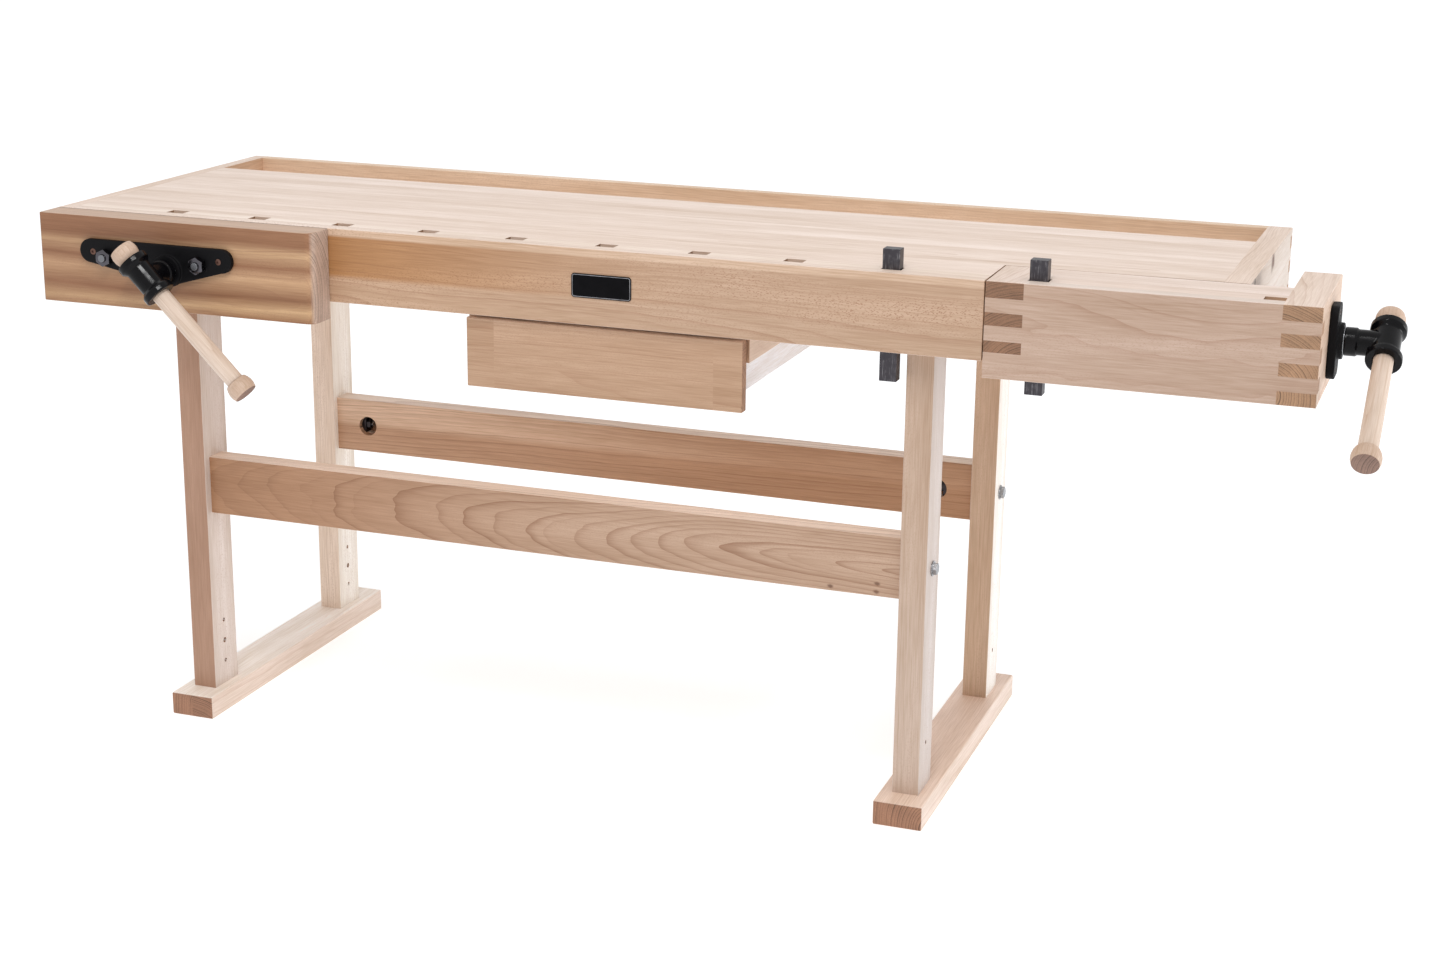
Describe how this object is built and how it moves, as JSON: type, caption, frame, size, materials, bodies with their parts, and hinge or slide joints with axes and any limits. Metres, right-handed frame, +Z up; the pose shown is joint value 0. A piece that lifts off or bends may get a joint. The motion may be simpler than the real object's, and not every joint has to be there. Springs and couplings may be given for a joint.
{
  "type": "woodworking bench with vises",
  "caption": "Beech woodworking bench on a trestle base, with a front vise, an L-shaped tail vise, dog holes with steel dogs, a tool tray and a hanging drawer.",
  "frame": {"origin": "on the floor, under the middle of the bench with its vises and handles", "axes": "+X along the bench to the tail vise, +Y from the front apron to the tool tray, +Z up"},
  "size_m": [2.1094, 0.7678, 0.89],
  "materials": {
    "beech": "oiled beech, satin",
    "red_beech": "oiled laminated beech, satin",
    "turned_beech": "turned beech, bare",
    "plywood": "birch plywood, bare",
    "black_enamel": "gloss black enamel on cast iron",
    "black_plate": "black painted plate with a grey border",
    "zinc": "bright zinc plating",
    "bright_steel": "turned bright steel, oiled",
    "dog_steel": "dark worn steel"
  },
  "bodies": {
    "bench": {"back_board": "beech", "battens": "beech", "bearers": "beech", "dog_spacers": "beech", "drawer_hangers": "beech", "end_board_left": "beech", "end_board_right": "beech", "foot_left": "beech", "foot_right": "beech", "front_apron": "beech", "front_guide_sleeves": "black_enamel", "front_nut": "black_enamel", "leg_front_left": "beech", "leg_front_right": "beech", "leg_rear_left": "beech", "leg_rear_right": "beech", "name_plate": "black_plate", "rail_bolts": "zinc", "rail_dowels": "beech", "rail_front": "beech", "rail_nuts": "zinc", "rail_rear": "beech", "tail_guide_saddle": "beech", "tail_guide_strip": "beech", "tail_nut": "black_enamel", "top_bolts": "zinc", "tray_floor": "plywood", "worktop_slab": "beech"},
    "front_jaw": {"front_jaw": "red_beech", "front_plate": "black_enamel", "front_plate_screws": "zinc", "front_guide_rods": "bright_steel", "front_rod_nuts": "zinc"},
    "front_screw": {"front_screw": "bright_steel", "front_screw_rings": "bright_steel", "front_handle_head": "black_enamel"},
    "front_handle": {"front_handle_rod": "turned_beech", "front_handle_knobs": "turned_beech"},
    "tail_vise": {"tail_front_board": "beech", "tail_dog_board": "beech", "tail_top_board": "beech", "tail_bottom_board": "beech", "tail_jaw_block": "beech", "tail_end_cap": "beech", "tail_guide_bar": "beech", "tail_plate": "black_enamel", "tail_plate_screws": "zinc"},
    "tail_screw": {"tail_screw": "bright_steel", "tail_screw_rings": "bright_steel", "tail_handle_head": "black_enamel"},
    "tail_handle": {"tail_handle_rod": "turned_beech", "tail_handle_knobs": "turned_beech"},
    "drawer": {"drawer_front": "beech", "drawer_sides": "beech", "drawer_back": "beech", "drawer_bottom": "plywood"},
    "dog_bench": {"dog_bench": "dog_steel"},
    "dog_vise": {"dog_vise": "dog_steel"}
  },
  "joints": [
    {"name": "front_jaw_slide", "type": "slide", "parent": "bench", "child": "front_jaw", "axis": [0, -1, 0], "range_m": [0, 0.15]},
    {"name": "front_screw_turn", "type": "hinge", "parent": "front_jaw", "child": "front_screw", "pos_m": [-0.81575, -0.35845, 0.7835], "axis": [0, -1, 0], "range_deg": [0, 9000]},
    {"name": "front_handle_slide", "type": "slide", "parent": "front_screw", "child": "front_handle", "axis": [-0.7071, 0, 0.7071], "range_m": [0, 0.178]},
    {"name": "tail_vise_slide", "type": "slide", "parent": "bench", "child": "tail_vise", "axis": [1, 0, 0], "range_m": [0, 0.15]},
    {"name": "tail_screw_turn", "type": "hinge", "parent": "tail_vise", "child": "tail_screw", "pos_m": [1.02925, -0.10905, 0.789], "axis": [1, 0, 0], "range_deg": [0, 9000]},
    {"name": "tail_handle_slide", "type": "slide", "parent": "tail_screw", "child": "tail_handle", "axis": [0, 0.866, 0.5], "range_m": [0, 0.178]},
    {"name": "drawer_slide", "type": "slide", "parent": "bench", "child": "drawer", "axis": [0, -1, 0], "range_m": [0, 0.3]},
    {"name": "dog_bench_slide", "type": "slide", "parent": "bench", "child": "dog_bench", "axis": [0, 0, 1], "range_m": [-0.03, 0.06]},
    {"name": "dog_vise_slide", "type": "slide", "parent": "tail_vise", "child": "dog_vise", "axis": [0, 0, 1], "range_m": [-0.03, 0.06]}
  ],
  "couplings": [
    {"joint": "front_jaw_slide", "follows": "front_screw_turn", "m_per_rad": 0.00095493},
    {"joint": "tail_vise_slide", "follows": "tail_screw_turn", "m_per_rad": 0.00095493}
  ]
}
